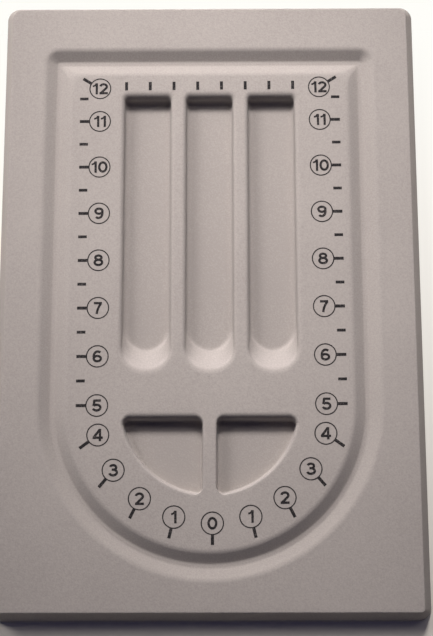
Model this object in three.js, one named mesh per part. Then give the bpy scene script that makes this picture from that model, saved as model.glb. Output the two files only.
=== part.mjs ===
// Bead board: a thin formed tray with a flocked face, a measuring channel, five bead wells and a printed
// inch scale. Millimetres, +Z up, +Y towards the back edge. The origin is on the ground under the middle
// of the board. Inside, y = 0 is the five-inch line, where the straight arms of the scale meet its bend.
import * as THREE from "three";
import { toCreasedNormals } from "three/addons/utils/BufferGeometryUtils.js";

// Scale
const INCH = 25.4; // one whole division
const BEND_INCHES = 5; // divisions from the zero mark along each half of the front bend
const SCALE_INCHES = 12; // last whole mark on each arm

// Layers, from the outside in
const INK = 0.15; // printed film
const FLOCK = 0.5; // pile of the flock
const GLUE = 0.3; // glue line under the flock
const SHEET = 1.0; // plastic sheet after forming
const TIGHTEST_BEND = 0.2; // least radius that forming leaves at a bend or a corner
const BARE_EDGE = 1.0; // strip of plastic below the flock, at the foot of the skirt

// Deck and skirt
const SIDE_MARGIN = 25.45; // deck edge to channel centreline
const FRONT_MARGIN = 22.7;
const BACK_MARGIN = 30.2;
const FRONT_CORNER = 2.0; // corner radius of the deck in plan
const BACK_CORNER = 5.0;
const FOOT_CORNER = 7.0; // corner radius at the foot of the skirt
const DECK_EDGE_BEND = 0.8; // bend from deck to skirt
const SKIRT_FLARE = 4.7; // how far the skirt spreads on each side, down to the ground
const UNDER_WELLS = 0.9; // ground to the underside of the wells

// Measuring channel, between its wall lines at deck level
const CHANNEL_WIDTH = 14.0;
const CHANNEL_FLOOR = 2.3;
const CHANNEL_DEPTH = 3.6;
const CHANNEL_LIP = 5.2; // bend from deck to wall
const CHANNEL_FLOOR_BEND = 2.4;
const CHANNEL_CORNER = 0.6; // centreline corner radius behind the arms
const CHANNEL_INNER_ROUNDING = 0.7; // growth of that radius towards the inner lip, per millimetre
const CHANNEL_BEYOND_SCALE = 8.0; // last inch line to the back run's centreline

// All wells
const WELL_DEPTH = 7.3;
const WALL_DRAFT = THREE.MathUtils.degToRad(3);
const WELL_FLOOR_BEND = 1.1;

// Long wells, between wall lines at deck level
const LONG_WELLS = 3;
const LONG_RIB = 7.8;
const LONG_LIP = 2.2; // bend from deck to side wall
const LONG_BACK_LIP = 3.8;
const LONG_CORNER = 2.2;
const LONG_START = 17.5; // five-inch line to the top of the ramp
const RAMP_RUN = 12.3; // length of the sloping front end in plan
const RAMP_LIP = 8.1; // bend from deck to ramp
const LONG_TO_TICKS = 4.2; // back wall line to the row of ticks
const LONG_TO_RINGS = 7.2; // outer wall line to the rings

// Lower wells: two quarter rounds either side of a rib
const LOWER_START = 7.0; // five-inch line to the straight back wall
const LOWER_RIB = 6.9;
const LOWER_ROUND_LIP = 1.6;
const LOWER_BACK_LIP = 2.4;
const LOWER_RIB_LIP = 0.9;
const LOWER_CORNER = 3.0;
const LOWER_TO_RINGS = 8.5; // round wall line to the rings

// Printed marks, which lie a little askew on the board
const PRINT_TURN = THREE.MathUtils.degToRad(0.3);
const PRINT_SHIFT = 1.0;
const RING_RADIUS = 5.85;
const RING_LINE = 0.6;
const LEAD_WIDTH = 1.6;
const LEAD_LENGTH = 4.9;
const ARM_MARK_INSET = 11.6; // channel centreline to the outer end of a mark
const BEND_MARK_INSET = 10.35;
const RING_SPREAD = 1.047; // ring angle on the bend, as a multiple of its lead's angle
const LAST_RING_DROP = 7.0; // last ring's centre below its inch line
const LAST_LEAD_DROP = 1.3; // end of its slanting lead below that line
const LAST_LEAD_INSET = 1.6; // end of its slanting lead inside the other marks
const HALF_TICK_LENGTH = 4.5;
const HALF_TICK_WIDTH = 1.5;
const BACK_TICKS = 8;
const BACK_TICK_LENGTH = 4.7;
const BACK_TICK_WIDTH = 1.6;
const BACK_TICK_INSET = 13.75; // back run's centreline to the middle of the ticks

// Facets
const BOARD_CORNER_STEPS = 5;
const CHANNEL_BEND_STEPS = 22;
const CHANNEL_CORNER_STEPS = 3;
const RAMP_STEPS = 12;
const LOWER_ROUND_STEPS = 8;
const WELL_CORNER_STEPS = 3;
const LIP_STEPS = 3;
const FLOOR_BEND_STEPS = 2;
const RING_SEGMENTS = 7;
const CREASE = THREE.MathUtils.degToRad(25); // bends under this angle are shaded smooth
const FLAT_CROWN = 1e-4; // rise of a flat's middle, per square millimetre, while it is divided into triangles

// Worked out from the sizes above
const LAYERS = FLOCK + GLUE + SHEET;
const DECK_Z = UNDER_WELLS + LAYERS + WELL_DEPTH;
const WELL_FLOOR_Z = DECK_Z - WELL_DEPTH;
const DRAFT_RUN = WELL_DEPTH * Math.tan(WALL_DRAFT);
const CHANNEL_RADIUS = (BEND_INCHES * INCH) / (Math.PI / 2);
const LAST_LINE_Y = (SCALE_INCHES - BEND_INCHES) * INCH;
const CHANNEL_BACK_Y = LAST_LINE_Y + CHANNEL_BEYOND_SCALE;
const DECK_HALF_WIDTH = CHANNEL_RADIUS + SIDE_MARGIN;
const DECK_FRONT_Y = -CHANNEL_RADIUS - FRONT_MARGIN;
const DECK_BACK_Y = CHANNEL_BACK_Y + BACK_MARGIN;
const DECK_MIDDLE_Y = (DECK_FRONT_Y + DECK_BACK_Y) / 2;
const DECK_HALF_LENGTH = (DECK_BACK_Y - DECK_FRONT_Y) / 2;
const ARM_MARK_X = CHANNEL_RADIUS - ARM_MARK_INSET;
const RING_COLUMN_X = ARM_MARK_X - LEAD_LENGTH - RING_RADIUS;
const BEND_MARK_RADIUS = CHANNEL_RADIUS - BEND_MARK_INSET;
const RING_BEND_RADIUS = BEND_MARK_RADIUS - LEAD_LENGTH - RING_RADIUS;
const BACK_TICK_Y = CHANNEL_BACK_Y - BACK_TICK_INSET;
const LONG_ROOM = 2 * (RING_COLUMN_X - RING_RADIUS - LONG_TO_RINGS);
const LONG_WIDTH = (LONG_ROOM - (LONG_WELLS - 1) * LONG_RIB) / LONG_WELLS;
const LONG_PITCH = LONG_WIDTH + LONG_RIB;
const LONG_BACK_Y = BACK_TICK_Y - BACK_TICK_LENGTH / 2 - LONG_TO_TICKS;
const LOWER_RADIUS = RING_BEND_RADIUS - RING_RADIUS - LOWER_TO_RINGS;
const FAR = DECK_HALF_LENGTH; // any length that reaches past a bend

const RIGHT_ANGLE = Math.PI / 2;
const HALF_TURN = Math.PI;
const FULL_TURN = 2 * Math.PI;

const cornerRadius = (radius) => Math.max(TIGHTEST_BEND, radius);
const mix = THREE.MathUtils.lerp;
const lastOf = (list) => list[list.length - 1];

// Points of an arc from one angle to another, both ends included.
function arcPoints(x, y, radius, from, to, steps) {
  return Array.from({ length: steps + 1 }, (_, i) => {
    const angle = mix(from, to, i / steps);
    return new THREE.Vector2(x + radius * Math.cos(angle), y + radius * Math.sin(angle));
  });
}

const raised = (points, height) => points.map((p) => new THREE.Vector3(p.x, p.y, height));

// Section across a formed bend, as points (out, up) that run inwards with the sheet on their left. The
// corners are those of the flocked face. They are carried `depth` into the layers, and then rounded: a bend
// round the sheet gets tighter with depth, and an opposite bend gets wider. The first and last corners only
// give a direction.
function formedSection(corners, depth) {
  const sharp = corners.map(({ out, up }) => new THREE.Vector2(out, up));
  const runs = sharp.slice(1).map((point, i) => point.clone().sub(sharp[i]).normalize());
  const left = (run) => new THREE.Vector2(-run.y, run.x);
  return corners.slice(1, -1).flatMap(({ bend, steps }, i) => {
    const [before, after] = [runs[i], runs[i + 1]];
    const [leftBefore, leftAfter] = [left(before), left(after)];
    const carry = depth / (1 + leftBefore.dot(leftAfter));
    const corner = sharp[i + 1].clone().addScaledVector(leftBefore.clone().add(leftAfter), carry);
    const side = Math.sign(before.cross(after));
    const angle = Math.acos(before.dot(after));
    const radius = cornerRadius(bend - side * depth);
    const centre = corner
      .addScaledVector(before, -radius * Math.tan(angle / 2))
      .addScaledVector(leftBefore, side * radius);
    const start = leftBefore.multiplyScalar(-side).angle();
    return arcPoints(centre.x, centre.y, radius, start, start + side * angle, steps);
  });
}

// Section of a well's wall: over the lip, down the wall and into the floor.
function wellSection(lip, run, depth) {
  const corners = [
    { out: FAR, up: DECK_Z },
    { out: 0, up: DECK_Z, bend: lip, steps: LIP_STEPS },
    { out: -run, up: WELL_FLOOR_Z, bend: WELL_FLOOR_BEND, steps: FLOOR_BEND_STEPS },
    { out: -FAR, up: WELL_FLOOR_Z },
  ];
  return formedSection(corners, depth);
}

// Rings of the skirt, from its foot up and over the edge of the deck. Its corners widen towards the foot.
function skirtRings(depth, foot) {
  const corners = [
    { out: SKIRT_FLARE, up: 0 },
    { out: 0, up: DECK_Z, bend: DECK_EDGE_BEND, steps: LIP_STEPS },
    { out: -FAR, up: DECK_Z },
  ];
  const bend = formedSection(corners, depth);
  const spread = (bend[0].y - foot) * (SKIRT_FLARE / DECK_Z);
  const section = [new THREE.Vector2(bend[0].x + spread, foot), ...bend];
  return section.map(({ x: out, y: up }) => {
    const flared = Math.max(out, 0) / SKIRT_FLARE;
    const quarters = [[1, 1], [-1, 1], [-1, -1], [1, -1]];
    const outline = quarters.flatMap(([sideX, sideY], i) => {
      const deckCorner = sideY > 0 ? BACK_CORNER : FRONT_CORNER;
      const corner = cornerRadius(mix(deckCorner, FOOT_CORNER, flared) + Math.min(out, 0));
      const x = sideX * (DECK_HALF_WIDTH + out - corner);
      const y = DECK_MIDDLE_Y + sideY * (DECK_HALF_LENGTH + out - corner);
      const from = i * RIGHT_ANGLE;
      return arcPoints(x, y, corner, from, from + RIGHT_ANGLE, BOARD_CORNER_STEPS);
    });
    return raised(outline, up);
  });
}

// Rings of the measuring channel, from its outer lip across the floor to its inner lip. Each is a loop with
// a half-round front and two square corners at the back.
function channelRings(depth) {
  const wall = CHANNEL_WIDTH / 2;
  const floor = CHANNEL_FLOOR / 2;
  const floorZ = DECK_Z - CHANNEL_DEPTH;
  const corners = [
    { out: FAR, up: DECK_Z },
    { out: wall, up: DECK_Z, bend: CHANNEL_LIP, steps: LIP_STEPS },
    { out: floor, up: floorZ, bend: CHANNEL_FLOOR_BEND, steps: FLOOR_BEND_STEPS },
    { out: -floor, up: floorZ, bend: CHANNEL_FLOOR_BEND, steps: FLOOR_BEND_STEPS },
    { out: -wall, up: DECK_Z, bend: CHANNEL_LIP, steps: LIP_STEPS },
    { out: -FAR, up: DECK_Z },
  ];
  return formedSection(corners, depth).map(({ x: out, y: up }) => {
    const arm = CHANNEL_RADIUS + out;
    const corner = CHANNEL_CORNER + Math.max(out, -CHANNEL_INNER_ROUNDING * out);
    const x = arm - corner;
    const y = CHANNEL_BACK_Y + out - corner;
    const outline = [
      ...arcPoints(0, 0, arm, HALF_TURN, FULL_TURN, CHANNEL_BEND_STEPS),
      ...arcPoints(x, y, corner, 0, RIGHT_ANGLE, CHANNEL_CORNER_STEPS),
      ...arcPoints(-x, y, corner, RIGHT_ANGLE, HALF_TURN, CHANNEL_CORNER_STEPS),
    ];
    return raised(outline, up);
  });
}

// Points round a corner between two walls with lips of their own: the height passes evenly from one to the other.
function passing(points, from, to) {
  return points.map((p, i) => new THREE.Vector3(p.x, p.y, mix(from, to, i / (points.length - 1))));
}

// Rings of one long well. Its front end is half round, and slides back with depth to form the ramp.
function longWellRings(middleX, depth) {
  const wall = wellSection(LONG_LIP, DRAFT_RUN, depth);
  const ramp = wellSection(RAMP_LIP, RAMP_RUN, depth);
  const back = wellSection(LONG_BACK_LIP, DRAFT_RUN, depth);
  return wall.map(({ x: out, y: up }, i) => {
    const halfWidth = LONG_WIDTH / 2 + out;
    const endY = LONG_START - ramp[i].x + halfWidth;
    const end = arcPoints(middleX, endY, halfWidth, HALF_TURN, FULL_TURN, RAMP_STEPS).map((p) => {
      const facingFront = ((p.y - endY) / halfWidth) ** 2;
      return new THREE.Vector3(p.x, p.y, mix(up, ramp[i].y, facingFront));
    });
    const corner = cornerRadius(LONG_CORNER + out);
    const x = halfWidth - corner;
    const y = LONG_BACK_Y + back[i].x - corner;
    const right = arcPoints(middleX + x, y, corner, 0, RIGHT_ANGLE, WELL_CORNER_STEPS);
    const left = arcPoints(middleX - x, y, corner, RIGHT_ANGLE, HALF_TURN, WELL_CORNER_STEPS);
    return [...end, ...passing(right, up, back[i].y), ...passing(left, back[i].y, up)];
  });
}

// Rings of the right-hand lower well: a straight back wall, a straight wall along the rib, and a round wall
// concentric with the bend of the scale.
function rightLowerWellRings(depth) {
  const round = wellSection(LOWER_ROUND_LIP, DRAFT_RUN, depth);
  const back = wellSection(LOWER_BACK_LIP, DRAFT_RUN, depth);
  const rib = wellSection(LOWER_RIB_LIP, DRAFT_RUN, depth);
  return back.map(({ x: out, y: up }, i) => {
    const corner = cornerRadius(LOWER_CORNER + out);
    const reach = LOWER_RADIUS + round[i].x - corner;
    const ribX = LOWER_RIB / 2 - rib[i].x + corner;
    const backY = -LOWER_START + out - corner;
    const frontY = -Math.sqrt(reach ** 2 - ribX ** 2);
    const outerX = Math.sqrt(reach ** 2 - backY ** 2);
    const frontAngle = Math.atan2(frontY, ribX);
    const outerAngle = Math.atan2(backY, outerX);
    const roundWall = arcPoints(0, 0, reach + corner, frontAngle, outerAngle, LOWER_ROUND_STEPS).slice(1, -1);
    const outerCorner = arcPoints(outerX, backY, corner, outerAngle, RIGHT_ANGLE, WELL_CORNER_STEPS);
    const backCorner = arcPoints(ribX, backY, corner, RIGHT_ANGLE, HALF_TURN, WELL_CORNER_STEPS);
    const turn = FULL_TURN + frontAngle;
    const frontCorner = arcPoints(ribX, frontY, corner, HALF_TURN, turn, WELL_CORNER_STEPS);
    return [
      ...raised(roundWall, round[i].y),
      ...passing(outerCorner, round[i].y, up),
      ...passing(backCorner, up, rib[i].y),
      ...passing(frontCorner, rib[i].y, round[i].y),
    ];
  });
}

const mirrored = (ring) => ring.map((p) => new THREE.Vector3(-p.x, p.y, p.z)).reverse();

// One face of the formed sheet, `depth` below the flocked face. All rings run anticlockwise seen from above
// and follow each other inwards, so that its triangles face up and out. Flats are divided in a plan that is
// bowed a little, because a triangle could otherwise skip a corner of the wells whose edges lie on one line.
function formedFace(depth, foot) {
  const points = [];
  const triangles = [];
  const place = (rings) => rings.map((ring) => ring.map((point) => points.push(point) - 1));
  const bowed = ({ x, y }) => new THREE.Vector2(x, y - FLAT_CROWN * x ** 2);
  const plan = (loop) => loop.map((index) => bowed(points[index]));
  const fill = (edge, holes) => {
    const loops = [edge, ...holes].flat();
    const pieces = THREE.ShapeUtils.triangulateShape(plan(edge), holes.map(plan));
    pieces.forEach((piece) => triangles.push(piece.map((index) => loops[index])));
  };

  const skirt = place(skirtRings(depth, foot));
  const channel = place(channelRings(depth));
  const rightLowerWell = rightLowerWellRings(depth);
  const wells = [place(rightLowerWell), place(rightLowerWell.map(mirrored))];
  for (let i = 0; i < LONG_WELLS; i += 1) {
    wells.push(place(longWellRings((i - (LONG_WELLS - 1) / 2) * LONG_PITCH, depth)));
  }

  for (const rings of [skirt, channel, ...wells]) {
    rings.slice(1).forEach((ring, i) => triangles.push(...bandBetween(rings[i], ring)));
  }
  fill(lastOf(skirt), [channel[0]]);
  fill(lastOf(channel), wells.map((rings) => rings[0]));
  wells.forEach((rings) => fill(lastOf(rings), []));
  return { points, triangles, footRing: skirt[0] };
}

// Two triangles for each step round a pair of rings.
function bandBetween(outer, inner) {
  return outer.flatMap((index, i) => {
    const next = (i + 1) % outer.length;
    return [
      [index, outer[next], inner[next]],
      [index, inner[next], inner[i]],
    ];
  });
}

// A layer of the board between two depths below the flocked face, cut off level at its foot.
function formedLayer(faceDepth, backDepth, foot) {
  const face = formedFace(faceDepth, foot);
  const back = formedFace(backDepth, foot);
  const behind = (index) => index + face.points.length;
  const triangles = [
    ...face.triangles,
    ...back.triangles.map((triangle) => triangle.map(behind).reverse()),
    ...bandBetween(back.footRing.map(behind), face.footRing),
  ];
  const geometry = new THREE.BufferGeometry().setFromPoints([...face.points, ...back.points]);
  geometry.setIndex(triangles.flat());
  return toCreasedNormals(geometry, CREASE);
}

// A ring with a lead line that runs out from it along +X.
function ringedMark(leadLength) {
  const halfLead = LEAD_WIDTH / 2;
  const joint = Math.asin(halfLead / RING_RADIUS);
  const end = RING_RADIUS + leadLength;
  const outline = new THREE.Shape()
    .absarc(0, 0, RING_RADIUS, joint, FULL_TURN - joint, false)
    .lineTo(end, -halfLead)
    .lineTo(end, halfLead)
    .closePath();
  outline.holes.push(new THREE.Path().absarc(0, 0, RING_RADIUS - RING_LINE, 0, FULL_TURN, true));
  return new THREE.ExtrudeGeometry(outline, {
    depth: INK,
    bevelEnabled: false,
    curveSegments: RING_SEGMENTS,
  });
}

// A tick that stands on the deck with its middle at the origin.
function tick(alongX, alongY) {
  return new THREE.BoxGeometry(alongX, alongY, INK).translate(0, 0, INK / 2);
}

const flockFinish = () => new THREE.MeshStandardMaterial({ color: 0xaea6a0, roughness: 0.95, metalness: 0 });
const sheetFinish = () => new THREE.MeshStandardMaterial({ color: 0x8f8a87, roughness: 0.55, metalness: 0 });
const inkFinish = () => new THREE.MeshStandardMaterial({ color: 0x262426, roughness: 0.7, metalness: 0 });

// Everything is laid out from the five-inch line, and this group brings the middle of the board to the origin.
const board = new THREE.Group();
board.position.y = -DECK_MIDDLE_Y;

const print = new THREE.Group();
print.position.set(PRINT_SHIFT, 0, DECK_Z);
print.rotation.z = PRINT_TURN;
board.add(print);

function addPiece(group, name, geometry, material) {
  const piece = new THREE.Mesh(geometry, material);
  piece.name = name;
  group.add(piece);
  return piece;
}

function addPrint(name, geometry, x, y) {
  const mark = addPiece(print, name, geometry, inkFinish());
  mark.position.set(x, y, 0);
  return mark;
}

// A ringed mark whose lead ends at a given point.
function addRingedMark(name, ring, leadEnd) {
  const lead = leadEnd.clone().sub(ring);
  const mark = addPrint(name, ringedMark(lead.length() - RING_RADIUS), ring.x, ring.y);
  mark.rotation.z = lead.angle();
}

// A point on the bend, at an angle from straight down.
const onBend = (radius, angle) => new THREE.Vector2(radius * Math.sin(angle), -radius * Math.cos(angle));

// Ring centre and lead end of a whole mark, on the right-hand side.
function markPlace(inch) {
  const lineY = (inch - BEND_INCHES) * INCH;
  if (inch < BEND_INCHES) {
    const angle = (inch / BEND_INCHES) * RIGHT_ANGLE;
    return [onBend(RING_BEND_RADIUS, angle * RING_SPREAD), onBend(BEND_MARK_RADIUS, angle)];
  }
  if (inch === SCALE_INCHES) {
    const leadEnd = new THREE.Vector2(ARM_MARK_X - LAST_LEAD_INSET, lineY - LAST_LEAD_DROP);
    return [new THREE.Vector2(RING_COLUMN_X, lineY - LAST_RING_DROP), leadEnd];
  }
  return [new THREE.Vector2(RING_COLUMN_X, lineY), new THREE.Vector2(ARM_MARK_X, lineY)];
}

addPiece(board, "tray_shell", formedLayer(FLOCK + GLUE, LAYERS, 0), sheetFinish());
addPiece(board, "flock_cover", formedLayer(0, FLOCK, BARE_EDGE), flockFinish());

addRingedMark("inch_mark_0", ...markPlace(0));
for (const [sideName, side] of [["left", -1], ["right", 1]]) {
  const acrossBoard = new THREE.Vector2(side, 1);
  for (let inch = 1; inch <= SCALE_INCHES; inch += 1) {
    const [ring, leadEnd] = markPlace(inch).map((point) => point.multiply(acrossBoard));
    addRingedMark(`inch_mark_${sideName}_${inch}`, ring, leadEnd);
  }
  for (let inch = BEND_INCHES; inch < SCALE_INCHES; inch += 1) {
    const x = side * (ARM_MARK_X - HALF_TICK_LENGTH / 2);
    const y = (inch + 0.5 - BEND_INCHES) * INCH;
    addPrint(`half_inch_tick_${sideName}_${inch}_5`, tick(HALF_TICK_LENGTH, HALF_TICK_WIDTH), x, y);
  }
}
for (let i = 0; i < BACK_TICKS; i += 1) {
  const x = (i - (BACK_TICKS - 1) / 2) * (INCH / 2);
  addPrint(`back_row_tick_${i + 1}`, tick(BACK_TICK_WIDTH, BACK_TICK_LENGTH), x, BACK_TICK_Y);
}

const beadBoard = new THREE.Group();
beadBoard.add(board);

export default beadBoard;
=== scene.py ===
"""A bead board in its studio: a thin tray formed from plastic sheet, its face covered in grey flock,
with a measuring channel, five bead wells and an inch scale printed round them. Lengths are in
millimetres until a mesh is made, unless a name or comment says otherwise. The outlines are laid out
from the five-inch line, where the straight arms of the scale meet its bend."""
import math

import bpy
import numpy as np
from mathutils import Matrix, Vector
from mathutils.geometry import delaunay_2d_cdt


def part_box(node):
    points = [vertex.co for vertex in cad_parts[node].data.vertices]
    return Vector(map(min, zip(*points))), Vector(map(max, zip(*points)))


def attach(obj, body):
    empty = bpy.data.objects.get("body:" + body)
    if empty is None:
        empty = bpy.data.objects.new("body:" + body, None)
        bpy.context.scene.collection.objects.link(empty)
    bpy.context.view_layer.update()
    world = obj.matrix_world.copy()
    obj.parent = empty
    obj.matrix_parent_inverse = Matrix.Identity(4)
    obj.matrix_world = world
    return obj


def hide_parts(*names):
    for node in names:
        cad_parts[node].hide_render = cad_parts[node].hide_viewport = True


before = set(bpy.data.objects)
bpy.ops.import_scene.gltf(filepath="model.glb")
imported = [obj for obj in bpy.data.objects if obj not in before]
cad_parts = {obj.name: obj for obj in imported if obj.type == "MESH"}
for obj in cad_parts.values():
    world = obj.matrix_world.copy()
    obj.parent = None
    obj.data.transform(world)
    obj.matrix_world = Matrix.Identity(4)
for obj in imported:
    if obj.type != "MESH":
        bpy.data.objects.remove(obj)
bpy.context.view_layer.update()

MM = 0.001
INCH = 25.4

# Layers, from the outside in
INK_PROUD = 0.06  # how far the printed film stands above the pile
INK_SUNK = 0.04  # how far it soaks in
FLOCK_DEPTH = 0.5
GLUE_DEPTH = 0.3
SHEET_DEPTH = 1.0
TIGHTEST_BEND = 0.2
BARE_EDGE = 1.0  # strip of plastic below the flock, at the foot of the skirt

# Deck and skirt. The margins run from the deck's edge to the centreline of the channel
SIDE_MARGIN = 25.45
FRONT_MARGIN = 22.7
BACK_MARGIN = 30.2
FRONT_CORNER = 2.0
BACK_CORNER = 5.0
FOOT_CORNER = 7.0
DECK_EDGE_BEND = 0.8
SKIRT_FLARE = 4.7

# Measuring channel, between its wall lines at deck level
CHANNEL_WIDTH = 14.0
CHANNEL_FLOOR = 2.3
CHANNEL_DEPTH = 3.6
CHANNEL_LIP = 5.2
CHANNEL_FLOOR_BEND = 2.4
CHANNEL_CORNER = 0.6
CHANNEL_INNER_ROUNDING = 0.7  # growth of the corner's radius towards the inner lip

# All wells
WELL_DEPTH = 7.3
WALL_DRAFT = math.radians(3)

# Long wells
LONG_WELLS = 3
LONG_RIB = 7.8
LONG_LIP = 2.2
LONG_BACK_LIP = 3.8
LONG_FLOOR_BEND = 2.6
LONG_CORNER = 2.2
LONG_START = 17.5  # five-inch line to the top of the ramp
RAMP_RUN = 12.3
RAMP_LIP = 8.1
RAMP_FLOOR_BEND = 4.5
LONG_TO_TICKS = 4.2  # back wall line to the row of ticks
LONG_TO_RINGS = 7.2  # outer wall line to the rings

# Lower wells
LOWER_START = 7.0  # five-inch line to the straight back wall
LOWER_RIB = 6.9
LOWER_ROUND_LIP = 1.6
LOWER_BACK_LIP = 3.4
LOWER_RIB_LIP = 0.9
LOWER_FLOOR_BEND = 1.1
LOWER_CORNER = 3.0
LOWER_TO_RINGS = 8.5  # round wall line to the rings

# Printed scale, laid a little askew on the tray
PRINT_TURN = math.radians(0.3)
PRINT_SHIFT = 1.0
BEND_INCHES = 5
SCALE_INCHES = 12
RING_RADIUS = 5.85
RING_LINE = 0.6
LEAD_WIDTH = 1.6
LEAD_LENGTH = 4.9
ARM_MARK_INSET = 11.6  # channel centreline to the outer end of a mark
BEND_MARK_INSET = 10.35
RING_SPREAD = 1.047  # ring angle on the bend, as a multiple of its lead's angle
LAST_RING_DROP = 7.0  # last inch line down to its ring
LAST_LEAD_DROP = 1.3  # last inch line down to the end of its lead
LAST_LEAD_INSET = 1.6
LAST_LINE_TO_CHANNEL = 8.0  # last inch line to the centreline of the channel's back run
HALF_TICK_LENGTH = 4.5
HALF_TICK_WIDTH = 1.5
BACK_TICKS = 8
BACK_TICK_LENGTH = 4.7
BACK_TICK_WIDTH = 1.6
BACK_TICK_INSET = 13.75  # back run's centreline to the middle of the ticks
NUMERAL_HEIGHT = 6.3
NUMERAL_GAP = 0.65  # between the two digits of a number
STEM = 0.195  # thickness of a numeral's stroke, as a share of its height
FLAG = 0.15  # thickness of the flag of a 1, as a share of its height

# Steps of the surfaces
BOARD_CORNER_STEPS = 12
CHANNEL_BEND_STEPS = 160
CHANNEL_CORNER_STEPS = 14
RAMP_STEPS = 48
LOWER_ROUND_STEPS = 64
WELL_CORNER_STEPS = 10
LIP_STEPS = 9
FLOOR_BEND_STEPS = 6
WALL_STEPS = 5
RING_STEPS = 64
NUMERAL_STEPS = 28
LAND = 1.2  # flat strip beside each bend, which keeps the flats beyond it shaded flat
CREASE = math.radians(40)

# Read from the frame
_, flock_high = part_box("flock_cover")
DECK_Z = flock_high.z / MM
FOOT_SPREAD = SKIRT_FLARE * (1 - BARE_EDGE / DECK_Z)  # deck's edge to the foot of the flock
DECK_HALF_WIDTH = flock_high.x / MM - FOOT_SPREAD
DECK_HALF_LENGTH = flock_high.y / MM - FOOT_SPREAD

# Worked out from the sizes above
LAYERS = FLOCK_DEPTH + GLUE_DEPTH + SHEET_DEPTH
WELL_FLOOR_Z = DECK_Z - WELL_DEPTH
DRAFT_RUN = WELL_DEPTH * math.tan(WALL_DRAFT)
CHANNEL_RADIUS = DECK_HALF_WIDTH - SIDE_MARGIN
FIVE_INCH_Y = FRONT_MARGIN + CHANNEL_RADIUS - DECK_HALF_LENGTH
CHANNEL_BACK_Y = DECK_HALF_LENGTH - BACK_MARGIN - FIVE_INCH_Y
LAST_LINE_Y = CHANNEL_BACK_Y - LAST_LINE_TO_CHANNEL
ARM_MARK_X = CHANNEL_RADIUS - ARM_MARK_INSET
RING_COLUMN_X = ARM_MARK_X - LEAD_LENGTH - RING_RADIUS
BEND_MARK_RADIUS = CHANNEL_RADIUS - BEND_MARK_INSET
RING_BEND_RADIUS = BEND_MARK_RADIUS - LEAD_LENGTH - RING_RADIUS
BACK_TICK_Y = CHANNEL_BACK_Y - BACK_TICK_INSET
LONG_ROOM = 2 * (RING_COLUMN_X - RING_RADIUS - LONG_TO_RINGS)
LONG_WIDTH = (LONG_ROOM - (LONG_WELLS - 1) * LONG_RIB) / LONG_WELLS
LONG_PITCH = LONG_WIDTH + LONG_RIB
LONG_BACK_Y = BACK_TICK_Y - BACK_TICK_LENGTH / 2 - LONG_TO_TICKS
LOWER_RADIUS = RING_BEND_RADIUS - RING_RADIUS - LOWER_TO_RINGS
FAR = DECK_HALF_LENGTH  # any length that reaches past a bend

QUARTER_TURN = math.pi / 2
HALF_TURN = math.pi
FULL_TURN = 2 * math.pi

INSIDE = 1  # kind of triangulation that keeps to the inside of the outlines
NEAR = 1e-4  # points closer than this are one


def arcs(x, y, radius, start, end, steps):
    """Points of many arcs at once: centre plus radius times (cos, sin) of an angle that runs evenly
    from start to end. Each argument is one number or one number per ring, and the result has rows ring,
    point, (x, y)."""
    x, y, radius, start, end = (np.reshape(value, (-1, 1)) for value in (x, y, radius, start, end))
    angle = start + (end - start) * np.linspace(0, 1, steps + 1)
    points = np.broadcast_arrays(x + radius * np.cos(angle), y + radius * np.sin(angle))
    return np.stack(points, axis=-1)


def corner_radius(radius):
    """The radius itself, or the tightest bend that the sheet takes where that is larger."""
    return np.maximum(TIGHTEST_BEND, radius)


def formed_section(corners, depth):
    """Section across formed bends, as rows (out, up) that run inwards with the sheet on their left.
    Each corner of the flocked face, given as (out, up, radius, steps), is carried into the layers along
    its mitre by depth / (1 + cosine of the turn), then rounded by an arc: its radius shrinks with depth
    on a bend round the sheet and grows on an opposite one. Straight walls between the arcs are stepped
    evenly. The first and last corners only give the direction of the flats beyond the bends."""
    sharp = np.array([corner[:2] for corner in corners], float)
    runs = np.diff(sharp, axis=0)
    runs /= np.linalg.norm(runs, axis=1, keepdims=True)
    left = np.stack([-runs[:, 1], runs[:, 0]], axis=1)
    bends = []
    for i, (_, _, bend, steps) in enumerate(corners[1:-1]):
        carry = depth / (1 + left[i] @ left[i + 1])
        corner = sharp[i + 1] + carry * (left[i] + left[i + 1])
        side = np.sign(runs[i, 0] * runs[i + 1, 1] - runs[i, 1] * runs[i + 1, 0])
        turn = math.acos(runs[i] @ runs[i + 1])
        radius = corner_radius(bend - side * depth)
        centre = corner - radius * math.tan(turn / 2) * runs[i] + side * radius * left[i]
        start = math.atan2(-side * left[i, 1], -side * left[i, 0])
        bends.append(arcs(*centre, radius, start, start + side * turn, steps)[0])
    section = [bends[0]]
    for before, after in zip(bends, bends[1:]):
        wall = np.linspace(before[-1], after[0], WALL_STEPS + 1)[1:-1]
        section += [wall, after]
    return np.concatenate(section)


def with_lands(section, before, after):
    """The same section with a flat strip added at its ends, where these are asked for."""
    first = section[:1] + [LAND, 0] if before else section[:0]
    last = section[-1:] - [LAND, 0] if after else section[:0]
    return np.concatenate([first, section, last])


def well_section(lip, run, floor_bend, depth):
    """Section of a well's wall: over a lip of that radius, down a wall that runs in by `run`, and round
    a bend into the floor."""
    corners = [
        (FAR, DECK_Z, 0, 0),
        (0, DECK_Z, lip, LIP_STEPS),
        (-run, WELL_FLOOR_Z, floor_bend, FLOOR_BEND_STEPS),
        (-FAR, WELL_FLOOR_Z, 0, 0),
    ]
    return with_lands(formed_section(corners, depth), True, True)


def rings_of(outline, up):
    """Rows ring, point, (x, y, z), from outlines in plan and the height of each ring or of each
    point."""
    height = np.broadcast_to(np.reshape(up, (len(outline), -1)), outline.shape[:2])
    return np.concatenate([outline, height[..., None]], axis=-1)


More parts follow.
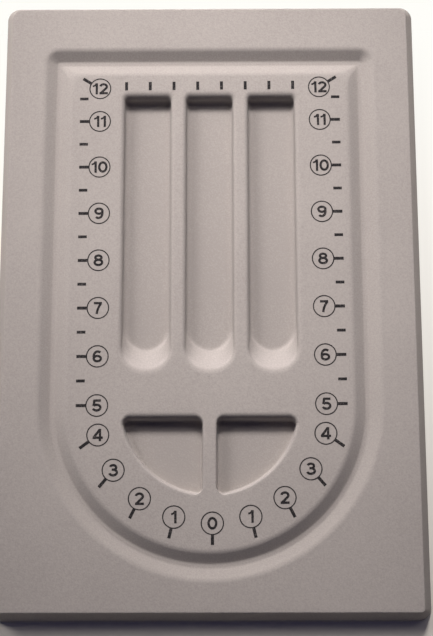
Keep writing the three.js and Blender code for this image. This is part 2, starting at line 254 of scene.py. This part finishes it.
def skirt_rings(depth, foot):
    """Skirt, from its foot up and over the deck's edge: a rectangle with round corners, grown by the
    section's outward distance. The corners' radius passes from the deck's to the foot's as the skirt
    flares."""
    corners = [
        (SKIRT_FLARE, 0, 0, 0),
        (0, DECK_Z, DECK_EDGE_BEND, LIP_STEPS),
        (-FAR, DECK_Z, 0, 0),
    ]
    bend = formed_section(corners, depth)
    spread = (bend[0, 1] - foot) * SKIRT_FLARE / DECK_Z
    wall = np.linspace([bend[0, 0] + spread, foot], bend[0], WALL_STEPS + 1)[:-1]
    out, up = with_lands(np.concatenate([wall, bend]), False, True).T
    flared = np.maximum(out, 0) / SKIRT_FLARE
    quarters = []
    for i, (side_x, side_y) in enumerate([(1, 1), (-1, 1), (-1, -1), (1, -1)]):
        deck_corner = BACK_CORNER if side_y > 0 else FRONT_CORNER
        corner = corner_radius(deck_corner + (FOOT_CORNER - deck_corner) * flared + np.minimum(out, 0))
        x = side_x * (DECK_HALF_WIDTH + out - corner)
        y = side_y * (DECK_HALF_LENGTH + out - corner) - FIVE_INCH_Y
        start = i * QUARTER_TURN
        quarters.append(arcs(x, y, corner, start, start + QUARTER_TURN, BOARD_CORNER_STEPS))
    return rings_of(np.concatenate(quarters, axis=1), up)


def channel_rings(depth):
    """Measuring channel, from its outer lip across the floor to its inner lip: a loop with a half-round
    front and two square corners at the back, grown by the section's outward distance from the
    centreline."""
    wall = CHANNEL_WIDTH / 2
    floor = CHANNEL_FLOOR / 2
    floor_z = DECK_Z - CHANNEL_DEPTH
    corners = [
        (FAR, DECK_Z, 0, 0),
        (wall, DECK_Z, CHANNEL_LIP, LIP_STEPS),
        (floor, floor_z, CHANNEL_FLOOR_BEND, FLOOR_BEND_STEPS),
        (-floor, floor_z, CHANNEL_FLOOR_BEND, FLOOR_BEND_STEPS),
        (-wall, DECK_Z, CHANNEL_LIP, LIP_STEPS),
        (-FAR, DECK_Z, 0, 0),
    ]
    out, up = with_lands(formed_section(corners, depth), True, True).T
    arm = CHANNEL_RADIUS + out
    corner = CHANNEL_CORNER + np.maximum(out, -CHANNEL_INNER_ROUNDING * out)
    x = arm - corner
    y = CHANNEL_BACK_Y + out - corner
    outline = [
        arcs(0, 0, arm, HALF_TURN, FULL_TURN, CHANNEL_BEND_STEPS),
        arcs(x, y, corner, 0, QUARTER_TURN, CHANNEL_CORNER_STEPS),
        arcs(-x, y, corner, QUARTER_TURN, HALF_TURN, CHANNEL_CORNER_STEPS),
    ]
    return rings_of(np.concatenate(outline, axis=1), up)


def passing(start, end):
    """Heights round a well's corner, which pass evenly from one wall's section to the next one's."""
    return np.linspace(start, end, WELL_CORNER_STEPS + 1, axis=1)


def long_well_rings(middle_x, depth):
    """One long well. Its front end is a half round that slides back with depth, so that it slopes as a
    ramp: the slide is the ramp section's, and the height passes from the wall's to the ramp's with the
    square of how squarely the half round faces the front. Round the back corners it passes evenly to
    the back wall's."""
    out, up = well_section(LONG_LIP, DRAFT_RUN, LONG_FLOOR_BEND, depth).T
    back_out, back_up = well_section(LONG_BACK_LIP, DRAFT_RUN, LONG_FLOOR_BEND, depth).T
    ramp_out, ramp_up = well_section(RAMP_LIP, RAMP_RUN, RAMP_FLOOR_BEND, depth).T
    half_width = LONG_WIDTH / 2 + out
    end_y = LONG_START - ramp_out + half_width
    end = arcs(middle_x, end_y, half_width, HALF_TURN, FULL_TURN, RAMP_STEPS)
    facing_front = ((end[..., 1] - end_y[:, None]) / half_width[:, None]) ** 2
    end_up = up[:, None] + (ramp_up - up)[:, None] * facing_front
    corner = corner_radius(LONG_CORNER + out)
    x = half_width - corner
    y = LONG_BACK_Y + back_out - corner
    right_corner = arcs(middle_x + x, y, corner, 0, QUARTER_TURN, WELL_CORNER_STEPS)
    left_corner = arcs(middle_x - x, y, corner, QUARTER_TURN, HALF_TURN, WELL_CORNER_STEPS)
    rings = [
        rings_of(end, end_up),
        rings_of(right_corner, passing(up, back_up)),
        rings_of(left_corner, passing(back_up, up)),
    ]
    return np.concatenate(rings, axis=1)


def right_lower_well_rings(depth):
    """The right-hand lower well: a straight back wall, a straight wall along the rib and a round wall
    concentric with the bend of the scale. Each wall has a lip of its own, so round each corner the
    height passes evenly from one section to the next."""
    round_out, round_up = well_section(LOWER_ROUND_LIP, DRAFT_RUN, LOWER_FLOOR_BEND, depth).T
    back_out, back_up = well_section(LOWER_BACK_LIP, DRAFT_RUN, LOWER_FLOOR_BEND, depth).T
    rib_out, rib_up = well_section(LOWER_RIB_LIP, DRAFT_RUN, LOWER_FLOOR_BEND, depth).T
    corner = corner_radius(LOWER_CORNER + back_out)
    reach = LOWER_RADIUS + round_out - corner
    rib_x = LOWER_RIB / 2 - rib_out + corner
    back_y = -LOWER_START + back_out - corner
    front_y = -np.sqrt(reach**2 - rib_x**2)
    outer_x = np.sqrt(reach**2 - back_y**2)
    front_angle = np.arctan2(front_y, rib_x)
    outer_angle = np.arctan2(back_y, outer_x)
    round_wall = arcs(0, 0, reach + corner, front_angle, outer_angle, LOWER_ROUND_STEPS)[:, 1:-1]
    outer_corner = arcs(outer_x, back_y, corner, outer_angle, QUARTER_TURN, WELL_CORNER_STEPS)
    back_corner = arcs(rib_x, back_y, corner, QUARTER_TURN, HALF_TURN, WELL_CORNER_STEPS)
    front_corner = arcs(rib_x, front_y, corner, HALF_TURN, FULL_TURN + front_angle, WELL_CORNER_STEPS)
    rings = [
        rings_of(round_wall, round_up),
        rings_of(outer_corner, passing(round_up, back_up)),
        rings_of(back_corner, passing(back_up, rib_up)),
        rings_of(front_corner, passing(rib_up, round_up)),
    ]
    return np.concatenate(rings, axis=1)


def mirrored(rings):
    """The same rings on the other side of the board, still anticlockwise seen from above."""
    return rings[:, ::-1] * [-1, 1, 1]


def facing_up(triangles, plan):
    """The triangles, each turned so that it runs anticlockwise in plan, by the sign of two sides' cross
    product."""
    a, b, c = (plan[triangles[:, i]] for i in range(3))
    area = (b[:, 0] - a[:, 0]) * (c[:, 1] - a[:, 1]) - (b[:, 1] - a[:, 1]) * (c[:, 0] - a[:, 0])
    return np.where(area[:, None] < 0, triangles[:, ::-1], triangles)


def filled(loops, points):
    """Triangles of the flat inside the first loop and outside the others, given as indices into the
    points: those of the triangulated plan that lie in the first loop's face alone."""
    index = np.concatenate(loops)
    plan = points[index, :2]
    ends = np.cumsum([len(loop) for loop in loops])
    outlines = [outline.tolist() for outline in np.split(np.arange(len(index)), ends[:-1])]
    result = delaunay_2d_cdt(plan.tolist(), [], outlines, INSIDE, NEAR)
    _, _, corners, corner_sources, _, loops_round = result
    source = np.array([sources[0] for sources in corner_sources])
    flat = np.array([loops_there == [0] for loops_there in loops_round])
    triangles = source[np.array(corners)[flat]]
    return index[facing_up(triangles, plan)]


def band(outer, inner):
    """Quads between two closed rings of indices, facing up when the rings run anticlockwise inwards."""
    return np.stack([outer, np.roll(outer, -1), np.roll(inner, -1), inner], axis=1)


def formed_face(depth, foot):
    """One face of the formed sheet, `depth` below the flocked face: bands between the rings of the
    skirt, channel and wells, and filled flats between these. Returns points, faces and the ring at the
    foot."""
    right_lower_well = right_lower_well_rings(depth)
    middles = (np.arange(LONG_WELLS) - (LONG_WELLS - 1) / 2) * LONG_PITCH
    forms = [skirt_rings(depth, foot), channel_rings(depth), right_lower_well, mirrored(right_lower_well)]
    forms += [long_well_rings(middle, depth) for middle in middles]
    points = np.concatenate([rings.reshape(-1, 3) for rings in forms])
    counts = [rings.shape[0] * rings.shape[1] for rings in forms]
    starts = np.cumsum(counts) - counts
    indices = [
        start + np.arange(count).reshape(rings.shape[:2])
        for start, count, rings in zip(starts, counts, forms)
    ]
    faces = [band(outer, inner) for rings in indices for outer, inner in zip(rings, rings[1:])]
    skirt, channel, *wells = indices
    faces.append(filled([skirt[-1], channel[0]], points))
    faces.append(filled([channel[-1]] + [well[0] for well in wells], points))
    faces += [filled([well[-1]], points) for well in wells]
    return points, faces, skirt[0]


def formed_layer(face_depth, back_depth, foot):
    """A closed layer of the board: the face at one depth, the face at another turned round, and a level
    strip that joins them at the foot."""
    face_points, face, face_foot = formed_face(face_depth, foot)
    back_points, back, back_foot = formed_face(back_depth, foot)
    behind = len(face_points)
    turned = [(part + behind)[:, ::-1] for part in back]
    strip = band(back_foot + behind, face_foot)
    return np.concatenate([face_points, back_points]), [*face, *turned, strip]


def swept(x, y, reach_x, reach_y, start, end, steps=NUMERAL_STEPS):
    """Points of an elliptical sweep: centre plus (reach_x cos, reach_y sin) of an angle that runs
    evenly from start to end, in degrees."""
    angle = np.radians(np.linspace(start, end, steps + 1))
    return np.stack([x + reach_x * np.cos(angle), y + reach_y * np.sin(angle)], axis=-1)


def curved(start, pull, end):
    """Points of a curve from start to end that leans towards a third point: a quadratic blend of the
    three."""
    share = np.linspace(0, 1, NUMERAL_STEPS + 1)[:, None]
    points = (1 - share) ** 2 * np.array(start) + 2 * share * (1 - share) * np.array(pull)
    return points + share**2 * np.array(end)


def line(*points):
    """Points of a straight or bent line, joined in turn."""
    return np.array(points, float)


# Centrelines of the numerals' strokes, in numeral heights from the lower left, with each numeral's width
FOOT_LINE = STEM / 2
HEAD_LINE = 1 - FOOT_LINE
SIX_WIDTH = 0.78
SIX = [swept(0.39, 0.315, 0.2925, 0.2175, 0, 360), swept(0.42, 0.5, 0.3225, 0.4025, 50, 205)]
NUMERALS = {
    "0": (0.80, [swept(0.40, 0.5, 0.3025, 0.4025, 0, 360)]),
    "1": (0.46, [line((0.36, 0), (0.36, 1)), swept(0.02, 1.0, 0.30, 0.26, -90, 0)]),
    "2": (
        0.76,
        [
            np.concatenate([swept(0.374, 0.68, 0.274, 0.2225, 170, -38), line((0.125, FOOT_LINE))]),
            line((0.03, FOOT_LINE), (0.74, FOOT_LINE)),
        ],
    ),
    "3": (
        0.80,
        [
            swept(0.395, 0.7225, 0.25, 0.18, 165, -90),
            swept(0.395, 0.32, 0.305, 0.2225, 90, -165),
            line((0.28, 0.5425), (0.42, 0.5425)),
        ],
    ),
    "4": (
        0.82,
        [
            line((0.59, 0), (0.59, 1)),
            line((0, 0.285), (0.82, 0.285)),
            line((0.56, 0.93), (0.075, 0.30)),
        ],
    ),
    "5": (
        0.79,
        [
            line((0.16, HEAD_LINE), (0.72, HEAD_LINE)),
            line((0.205, 0.95), (0.14, 0.47)),
            swept(0.385, 0.33, 0.305, 0.2325, 140, -160),
        ],
    ),
    "6": (SIX_WIDTH, SIX),
    "7": (
        0.73,
        [
            line((0.03, HEAD_LINE), (0.70, HEAD_LINE)),
            curved((0.64, 0.89), (0.34, 0.52), (0.27, 0)),
        ],
    ),
    "8": (
        0.82,
        [
            swept(0.41, 0.725, 0.255, 0.1775, 0, 360),
            swept(0.41, 0.3175, 0.3125, 0.22, 0, 360),
        ],
    ),
    "9": (SIX_WIDTH, [[SIX_WIDTH, 1] - stroke for stroke in SIX]),
}


def stroke_quads(path, width):
    """Quads of a stroke: the path moved half its width to each side, along the mitre at each point,
    which is the mean of the two runs' normals over the cosine of half the turn between them."""
    path = np.asarray(path, float)
    runs = np.diff(path, axis=0)
    runs /= np.linalg.norm(runs, axis=1, keepdims=True)
    closed = np.allclose(path[0], path[-1])
    before = np.concatenate([runs[-1:] if closed else runs[:1], runs])
    after = np.concatenate([runs, runs[:1] if closed else runs[-1:]])
    mean = before + after
    mean /= np.linalg.norm(mean, axis=1, keepdims=True)
    mitre = np.stack([-mean[:, 1], mean[:, 0]], axis=1) / np.sum(mean * after, axis=1, keepdims=True)
    left = path + mitre * width / 2
    right = path - mitre * width / 2
    return np.stack([right[:-1], right[1:], left[1:], left[:-1]], axis=1)


def printed_film(strokes):
    """A thin printed film: the union of the strokes' quads in plan, turned and shifted as the print
    lies, a copy of it below turned over, and a wall along each edge that only one of its triangles
    has."""
    corners = np.concatenate(strokes).reshape(-1, 2)
    quads = np.arange(len(corners)).reshape(-1, 4)
    result = delaunay_2d_cdt(corners.tolist(), [], quads.tolist(), INSIDE, NEAR)
    points, _, faces, _, _, quads_there = result
    across = math.cos(PRINT_TURN)
    aslant = math.sin(PRINT_TURN)
    turn = np.array([[across, aslant], [-aslant, across]])
    plan = np.array([point[:] for point in points]) @ turn + [PRINT_SHIFT, 0]
    count = len(plan)
    covered = np.array([len(quads_over) > 0 for quads_over in quads_there])
    triangles = facing_up(np.array(faces)[covered], plan)
    sides = np.concatenate([triangles[:, [0, 1]], triangles[:, [1, 2]], triangles[:, [2, 0]]])
    codes = np.sort(sides, axis=1) @ [count, 1]
    edges, uses = np.unique(codes, return_counts=True)
    start, end = sides[np.isin(codes, edges[uses == 1])].T
    walls = np.stack([start + count, end + count, end, start], axis=1)
    top = np.column_stack([plan, np.full(count, DECK_Z + INK_PROUD)])
    base = np.column_stack([plan, np.full(count, DECK_Z - INK_SUNK)])
    return np.concatenate([top, base]), [triangles, triangles[:, ::-1] + count, walls]


def on_bend(radius, angle):
    """A point on the bend of the scale, at an angle from straight down."""
    return np.array([radius * math.sin(angle), -radius * math.cos(angle)])


def mark_place(inch):
    """Ring centre and lead end of a whole mark, on the right-hand side."""
    line_y = LAST_LINE_Y - (SCALE_INCHES - inch) * INCH
    if inch < BEND_INCHES:
        angle = inch / BEND_INCHES * QUARTER_TURN
        return on_bend(RING_BEND_RADIUS, angle * RING_SPREAD), on_bend(BEND_MARK_RADIUS, angle)
    if inch == SCALE_INCHES:
        lead_end = np.array([ARM_MARK_X - LAST_LEAD_INSET, line_y - LAST_LEAD_DROP])
        return np.array([RING_COLUMN_X, line_y - LAST_RING_DROP]), lead_end
    return np.array([RING_COLUMN_X, line_y]), np.array([ARM_MARK_X, line_y])


def ringed_mark(ring, lead_end):
    """Strokes of a ring and of the lead line that runs out from it."""
    along = (lead_end - ring) / np.linalg.norm(lead_end - ring)
    middle = RING_RADIUS - RING_LINE / 2
    circle = swept(*ring, middle, middle, 0, 360, RING_STEPS)
    return [stroke_quads(circle, RING_LINE), stroke_quads([ring + along * middle, lead_end], LEAD_WIDTH)]


def number_strokes(number, middle):
    """Strokes of a whole number, centred on a point. The second stroke of a 1 is its flag."""
    digits = str(number)
    widths = [NUMERALS[digit][0] * NUMERAL_HEIGHT for digit in digits]
    total = sum(widths) + NUMERAL_GAP * (len(digits) - 1)
    corner = np.array(middle) - [total / 2, NUMERAL_HEIGHT / 2]
    strokes = []
    for digit, width in zip(digits, widths):
        for i, stroke in enumerate(NUMERALS[digit][1]):
            weight = FLAG if digit == "1" and i == 1 else STEM
            strokes.append(stroke_quads(corner + stroke * NUMERAL_HEIGHT, weight * NUMERAL_HEIGHT))
        corner = corner + [width + NUMERAL_GAP, 0]
    return strokes


def linear(hex_colour):
    """sRGB hex to linear RGBA: c / 12.92 up to 0.04045, and ((c + 0.055) / 1.055) to the power 2.4
    above."""
    channels = np.array([hex_colour >> 16, hex_colour >> 8 & 255, hex_colour & 255]) / 255
    curve = ((channels + 0.055) / 1.055) ** 2.4
    return (*np.where(channels <= 0.04045, channels / 12.92, curve).tolist(), 1.0)


def add_node(tree, kind, inputs=None, **settings):
    """Adds a node with its settings. An input is given by name or place, as a value or a socket to
    link."""
    made = tree.nodes.new(kind)
    for name, value in settings.items():
        setattr(made, name, value)
    for name, value in (inputs or {}).items():
        if isinstance(value, bpy.types.NodeSocket):
            tree.links.new(value, made.inputs[name])
        else:
            made.inputs[name].default_value = value
    return made


def per_metre(millimetres):
    """Noise scale whose features are about that size."""
    return 1 / (millimetres * MM)


MIX_A, MIX_B, MIX_COLOUR = 6, 7, 2  # sockets of a colour Mix node


def new_finish(name):
    """An empty node material: its tree and its shader, linked to the output."""
    finish = bpy.data.materials.new(name)
    finish.use_nodes = True
    tree = finish.node_tree
    return finish, tree, tree.nodes["Principled BSDF"]


def nylon_flock():
    """Nylon flock on a glue line: short grey fibres standing on end. It is dead matt, a little lighter
    at grazing angles, and its pile leans in patches where it was stroked. Around the lower wells and
    the ramps, slopes that face the back, towards the lamps, are painted paler: a painted highlight.
    The flock is also painted darker lower down, towards the wells' floors and down the skirt: painted
    shade. Fibres are 0.02 mm thick, too fine to show, so the grain is drawn as tufts."""
    tuft, stroked = 0.8, 60.0  # sizes of the tufts and of the stroked patches
    grain_depth = 0.35
    stroked_weight = 0.35  # of the stroked patches, where the tufts weigh 1
    darkest, lightest = 0.45, 0.90  # sums of both patterns that take the darker and the lighter colour
    # painted shade: what is added to the tone at the wells' floors, which lie in shade
    floor_shade = -0.18  # what is added to that sum at the wells' floors
    # painted highlight: slopes facing the back, towards the lamps, are painted paler
    lit_slope_from, lit_slope_to = 0.22, 0.50  # share of the surface's direction that points to the back
    # middle and reach of the area round the lower wells and the ramps that takes the painted highlight
    highlight_middle_y = -60.0
    highlight_inside, highlight_outside = 58.0, 68.0  # distances from that middle
    finish, tree, shader = new_finish("nylon flock")
    surface = add_node(tree, "ShaderNodeTexCoord").outputs
    place = surface["Object"]
    tufts = add_node(
        tree,
        "ShaderNodeTexNoise",
        {"Vector": place, "Scale": per_metre(tuft), "Detail": 2.0, "Roughness": 0.6},
    ).outputs["Fac"]
    leaning = add_node(
        tree, "ShaderNodeTexNoise", {"Vector": place, "Scale": per_metre(stroked), "Detail": 2.0}
    ).outputs["Fac"]
    tone = add_node(
        tree, "ShaderNodeMath", {0: leaning, 1: stroked_weight, 2: tufts}, operation="MULTIPLY_ADD"
    ).outputs[0]
    height = add_node(tree, "ShaderNodeSeparateXYZ", {0: place}).outputs["Z"]
    # painted shade: the tone runs darker from the deck down to the wells' floors and down the skirt
    painted_depth_shade = add_node(
        tree,
        "ShaderNodeMapRange",
        {
            "Value": height,
            "From Min": WELL_FLOOR_Z * MM,
            "From Max": DECK_Z * MM,
            "To Min": floor_shade,
            "To Max": 0.0,
        },
    ).outputs["Result"]
    shaded_tone = add_node(tree, "ShaderNodeMath", {0: tone, 1: painted_depth_shade}, operation="ADD").outputs[0]
    share = add_node(
        tree, "ShaderNodeMapRange", {"Value": shaded_tone, "From Min": darkest, "From Max": lightest}
    ).outputs["Result"]
    level = add_node(
        tree,
        "ShaderNodeMix",
        {"Factor": share, MIX_A: linear(0xA29C96), MIX_B: linear(0xB1ABA4)},
        data_type="RGBA",
    ).outputs[MIX_COLOUR]
    # painted highlight: the paler colour that slopes facing the lamps take
    painted_highlight_colour = add_node(
        tree,
        "ShaderNodeMix",
        {"Factor": share, MIX_A: linear(0xADA7A1), MIX_B: linear(0xBDB6B0)},
        data_type="RGBA",
    ).outputs[MIX_COLOUR]
    facing = add_node(tree, "ShaderNodeSeparateXYZ", {0: surface["Normal"]}).outputs["Y"]
    facing_back_lamps = add_node(
        tree,
        "ShaderNodeMapRange",
        {"Value": facing, "From Min": lit_slope_from, "From Max": lit_slope_to},
        interpolation_type="SMOOTHSTEP",
    ).outputs["Result"]
    distance = add_node(
        tree,
        "ShaderNodeVectorMath",
        {0: place, 1: (0.0, highlight_middle_y * MM, 0.0)},
        operation="DISTANCE",
    ).outputs["Value"]
    highlight_area = add_node(
        tree,
        "ShaderNodeMapRange",
        {"Value": distance, "From Min": highlight_outside * MM, "From Max": highlight_inside * MM},
    ).outputs["Result"]
    # painted highlight, where a slope faces the back lamps within the area round the lower wells and
    # ramps
    painted_highlight = add_node(
        tree, "ShaderNodeMath", {0: facing_back_lamps, 1: highlight_area}, operation="MULTIPLY"
    ).outputs[0]
    colour = add_node(
        tree, "ShaderNodeMix", {"Factor": painted_highlight, MIX_A: level, MIX_B: painted_highlight_colour}, data_type="RGBA"
    ).outputs[MIX_COLOUR]
    grain = add_node(
        tree, "ShaderNodeBump", {"Height": tufts, "Strength": 0.25, "Distance": grain_depth * MM}
    ).outputs["Normal"]
    tree.links.new(colour, shader.inputs["Base Color"])
    tree.links.new(grain, shader.inputs["Normal"])
    shader.inputs["Roughness"].default_value = 0.95
    shader.inputs["Specular IOR Level"].default_value = 0.1
    shader.inputs["Sheen Weight"].default_value = 0.1
    shader.inputs["Sheen Roughness"].default_value = 0.6
    return finish


def polystyrene_sheet():
    """High-impact polystyrene sheet, vacuum formed: grey, satin, with the faint orange peel of the
    mould side."""
    peel = 1.6
    peel_depth = 0.2
    finish, tree, shader = new_finish("polystyrene sheet")
    place = add_node(tree, "ShaderNodeTexCoord").outputs["Object"]
    ripple = add_node(
        tree, "ShaderNodeTexNoise", {"Vector": place, "Scale": per_metre(peel), "Detail": 2.0}
    ).outputs["Fac"]
    skin = add_node(
        tree, "ShaderNodeBump", {"Height": ripple, "Strength": 0.12, "Distance": peel_depth * MM}
    ).outputs["Normal"]
    tree.links.new(skin, shader.inputs["Normal"])
    shader.inputs["Base Color"].default_value = linear(0x8F8A87)
    shader.inputs["Roughness"].default_value = 0.48
    shader.inputs["IOR"].default_value = 1.59
    return finish


def screen_ink():
    """Black screen ink on flock: matt, and a little broken where the pile shows through."""
    broken = 0.7
    covered, showing = 0.52, 0.8  # values of the pattern at which the pile starts to show and shows most
    finish, tree, shader = new_finish("screen ink on flock")
    place = add_node(tree, "ShaderNodeTexCoord").outputs["Object"]
    pile = add_node(
        tree, "ShaderNodeTexNoise", {"Vector": place, "Scale": per_metre(broken), "Detail": 2.0}
    ).outputs["Fac"]
    share = add_node(
        tree, "ShaderNodeMapRange", {"Value": pile, "From Min": covered, "From Max": showing}
    ).outputs["Result"]
    colour = add_node(
        tree,
        "ShaderNodeMix",
        {"Factor": share, MIX_A: linear(0x1E1C1D), MIX_B: linear(0x625D5B)},
        data_type="RGBA",
    ).outputs[MIX_COLOUR]
    tree.links.new(colour, shader.inputs["Base Color"])
    shader.inputs["Roughness"].default_value = 0.85
    shader.inputs["Specular IOR Level"].default_value = 0.2
    return finish


def seen_rays(tree):
    """1 for rays that show the studio itself, straight on, mirrored or through something clear, and 0
    for light."""
    rays = add_node(tree, "ShaderNodeLightPath").outputs
    mirrored_too = add_node(
        tree, "ShaderNodeMath", {0: rays["Is Camera Ray"], 1: rays["Is Glossy Ray"]}, operation="MAXIMUM"
    ).outputs[0]
    return add_node(
        tree, "ShaderNodeMath", {0: mirrored_too, 1: rays["Is Transmission Ray"]}, operation="MAXIMUM"
    ).outputs[0]


def pale_paper():
    """Matt off-white paper on the table, which is seen passing into plain white far away, and towards the
    back through a painted glow that stands in for the lamps lighting the paper more strongly there."""
    paper_front, white_back = -165.0, 150.0  # along the board
    paper_near, white_far = 220.0, 500.0  # away from its middle
    finish, tree, shader = new_finish("pale paper")
    seen = seen_rays(tree)
    place = add_node(tree, "ShaderNodeTexCoord").outputs["Object"]
    along = add_node(tree, "ShaderNodeSeparateXYZ", {0: place}).outputs["Y"]
    # painted light: the paper is seen glowing more towards the back, where the lamps light it more
    # strongly
    behind = add_node(
        tree,
        "ShaderNodeMapRange",
        {"Value": along, "From Min": paper_front * MM, "From Max": white_back * MM},
    ).outputs["Result"]
    away = add_node(tree, "ShaderNodeVectorMath", {0: place}, operation="LENGTH").outputs["Value"]
    far = add_node(
        tree,
        "ShaderNodeMapRange",
        {"Value": away, "From Min": paper_near * MM, "From Max": white_far * MM},
    ).outputs["Result"]
    white = add_node(tree, "ShaderNodeMath", {0: behind, 1: far}, operation="MAXIMUM").outputs[0]
    share = add_node(tree, "ShaderNodeMath", {0: white, 1: seen}, operation="MULTIPLY").outputs[0]
    white_and_painted_glow = add_node(tree, "ShaderNodeEmission", {"Color": linear(0xFFFEF9), "Strength": 1.0}).outputs[0]
    shader.inputs["Base Color"].default_value = linear(0xF4F0E2)
    shader.inputs["Roughness"].default_value = 0.9
    shader.inputs["Specular IOR Level"].default_value = 0.1
    surface = add_node(tree, "ShaderNodeMixShader", {0: share, 1: shader.outputs[0], 2: white_and_painted_glow}).outputs[0]
    tree.links.new(surface, tree.nodes["Material Output"].inputs["Surface"])
    return finish


def make_mesh(name, points, faces, finish):
    """An object whose mesh holds the points, given in millimetres from the five-inch line, and the
    faces, given as arrays of indices. Bends are smooth, and edges sharper than the crease angle stay
    crisp."""
    mesh = bpy.data.meshes.new(name)
    corners = np.concatenate([part.ravel() for part in faces])
    sizes = np.concatenate([np.full(len(part), part.shape[1]) for part in faces])
    mesh.vertices.add(len(points))
    mesh.vertices.foreach_set("co", ((points + [0, FIVE_INCH_Y, 0]) * MM).ravel())
    mesh.loops.add(len(corners))
    mesh.loops.foreach_set("vertex_index", corners.astype(np.int32))
    mesh.polygons.add(len(sizes))
    mesh.polygons.foreach_set("loop_start", (np.cumsum(sizes) - sizes).astype(np.int32))
    mesh.update(calc_edges=True)
    mesh.shade_smooth()
    mesh.set_sharp_from_angle(angle=CREASE)
    mesh.materials.append(finish)
    made = bpy.data.objects.new(name, mesh)
    bpy.context.scene.collection.objects.link(made)
    return made


def add_piece(name, points, faces, finish, slot, nodes):
    """A piece of the board, which takes the place of the nodes it stands for."""
    piece = make_mesh(name, points, faces, finish)
    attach(piece, "root")
    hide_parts(*nodes)


def add_lamp(name, place, aim, size, spread, watts):
    """A soft square lamp aimed at a point, whose light thins out away from its axis: place, aim and
    size are in metres, and the spread is in degrees."""
    data = bpy.data.lights.new(name, "AREA")
    data.size = size
    data.spread = math.radians(spread)
    data.energy = watts
    data.color = linear(0xFFF8F8)[:3]
    lamp = bpy.data.objects.new(name, data)
    lamp.location = place
    lamp.rotation_euler = (Vector(aim) - lamp.location).to_track_quat("-Z", "Y").to_euler()
    bpy.context.scene.collection.objects.link(lamp)


# The tray and its flock
flock = nylon_flock()
sheet = polystyrene_sheet()
flock_layer = formed_layer(0, FLOCK_DEPTH, BARE_EDGE)
sheet_layer = formed_layer(FLOCK_DEPTH + GLUE_DEPTH, LAYERS, 0)
add_piece("flocked_face", *flock_layer, flock, "flock", ["flock_cover"])
add_piece("plastic_tray", *sheet_layer, sheet, "sheet", ["tray_shell"])

# The printed scale
whole_marks = ringed_mark(*mark_place(0))
whole_nodes = ["inch_mark_0"]
numbers = number_strokes(0, mark_place(0)[0])
half_ticks = []
half_nodes = []
for side_name, side in (("left", -1), ("right", 1)):
    for inch in range(1, SCALE_INCHES + 1):
        ring, lead_end = (point * [side, 1] for point in mark_place(inch))
        whole_marks += ringed_mark(ring, lead_end)
        whole_nodes.append(f"inch_mark_{side_name}_{inch}")
        numbers += number_strokes(inch, ring)
    for inch in range(BEND_INCHES, SCALE_INCHES):
        y = mark_place(inch)[0][1] + INCH / 2
        ends = [(side * ARM_MARK_X, y), (side * (ARM_MARK_X - HALF_TICK_LENGTH), y)]
        half_ticks.append(stroke_quads(ends, HALF_TICK_WIDTH))
        half_nodes.append(f"half_inch_tick_{side_name}_{inch}_5")
back_ticks = []
back_nodes = []
for i in range(BACK_TICKS):
    x = (i - (BACK_TICKS - 1) / 2) * INCH / 2
    ends = [(x, BACK_TICK_Y - BACK_TICK_LENGTH / 2), (x, BACK_TICK_Y + BACK_TICK_LENGTH / 2)]
    back_ticks.append(stroke_quads(ends, BACK_TICK_WIDTH))
    back_nodes.append(f"back_row_tick_{i + 1}")
ink = screen_ink()
add_piece("inch_marks", *printed_film(whole_marks), ink, "ink", whole_nodes)
add_piece("half_inch_ticks", *printed_film(half_ticks), ink, "ink", half_nodes)
add_piece("back_row_ticks", *printed_film(back_ticks), ink, "ink", back_nodes)
add_piece("scale_numbers", *printed_film(numbers), ink, "ink", [])

# The studio: a pale floor, a soft lamp behind the board, a broad one at the back left, a weak one
# high at the right, and a dim bluish room
FLOOR_HALF = 2500.0
floor_corners = np.array([[-1, -1, 0], [1, -1, 0], [1, 1, 0], [-1, 1, 0]]) * FLOOR_HALF
floor = make_mesh("floor", floor_corners, [np.array([[0, 1, 2, 3]])], pale_paper())
add_lamp("back_lamp", place=(0.0, 0.85, 0.75), aim=(0.0, 0.03, 0.0), size=0.24, spread=33, watts=0.53)
add_lamp("left_lamp", place=(-0.95, 1.00, 0.75), aim=(-0.08, 0.32, 0.0), size=0.75, spread=44, watts=1.70)
add_lamp("right_lamp", place=(0.45, 0.75, 1.10), aim=(0.0, 0.18, 0.0), size=0.40, spread=41, watts=0.17)

world = bpy.data.worlds.new("room")
world.use_nodes = True
room = world.node_tree
backdrop = add_node(
    room,
    "ShaderNodeMix",
    {"Factor": seen_rays(room), MIX_A: linear(0x28273C), MIX_B: linear(0xFFFFFF)},
    data_type="RGBA",
).outputs[MIX_COLOUR]
room.links.new(backdrop, room.nodes["Background"].inputs["Color"])
bpy.context.scene.world = world

# The camera stands over the front half of the board and looks down with a slight lean towards the back
camera_data = bpy.data.cameras.new("camera")
camera_data.sensor_width = 36.0
camera_data.lens = 74.41
camera = bpy.data.objects.new("camera", camera_data)
camera.location = (0.00777, -0.14797, 0.67431)
camera.rotation_euler = (0.20298, 0.006676, -0.001774)
bpy.context.scene.collection.objects.link(camera)
bpy.context.scene.camera = camera

bpy.context.scene.view_settings.view_transform = "Standard"
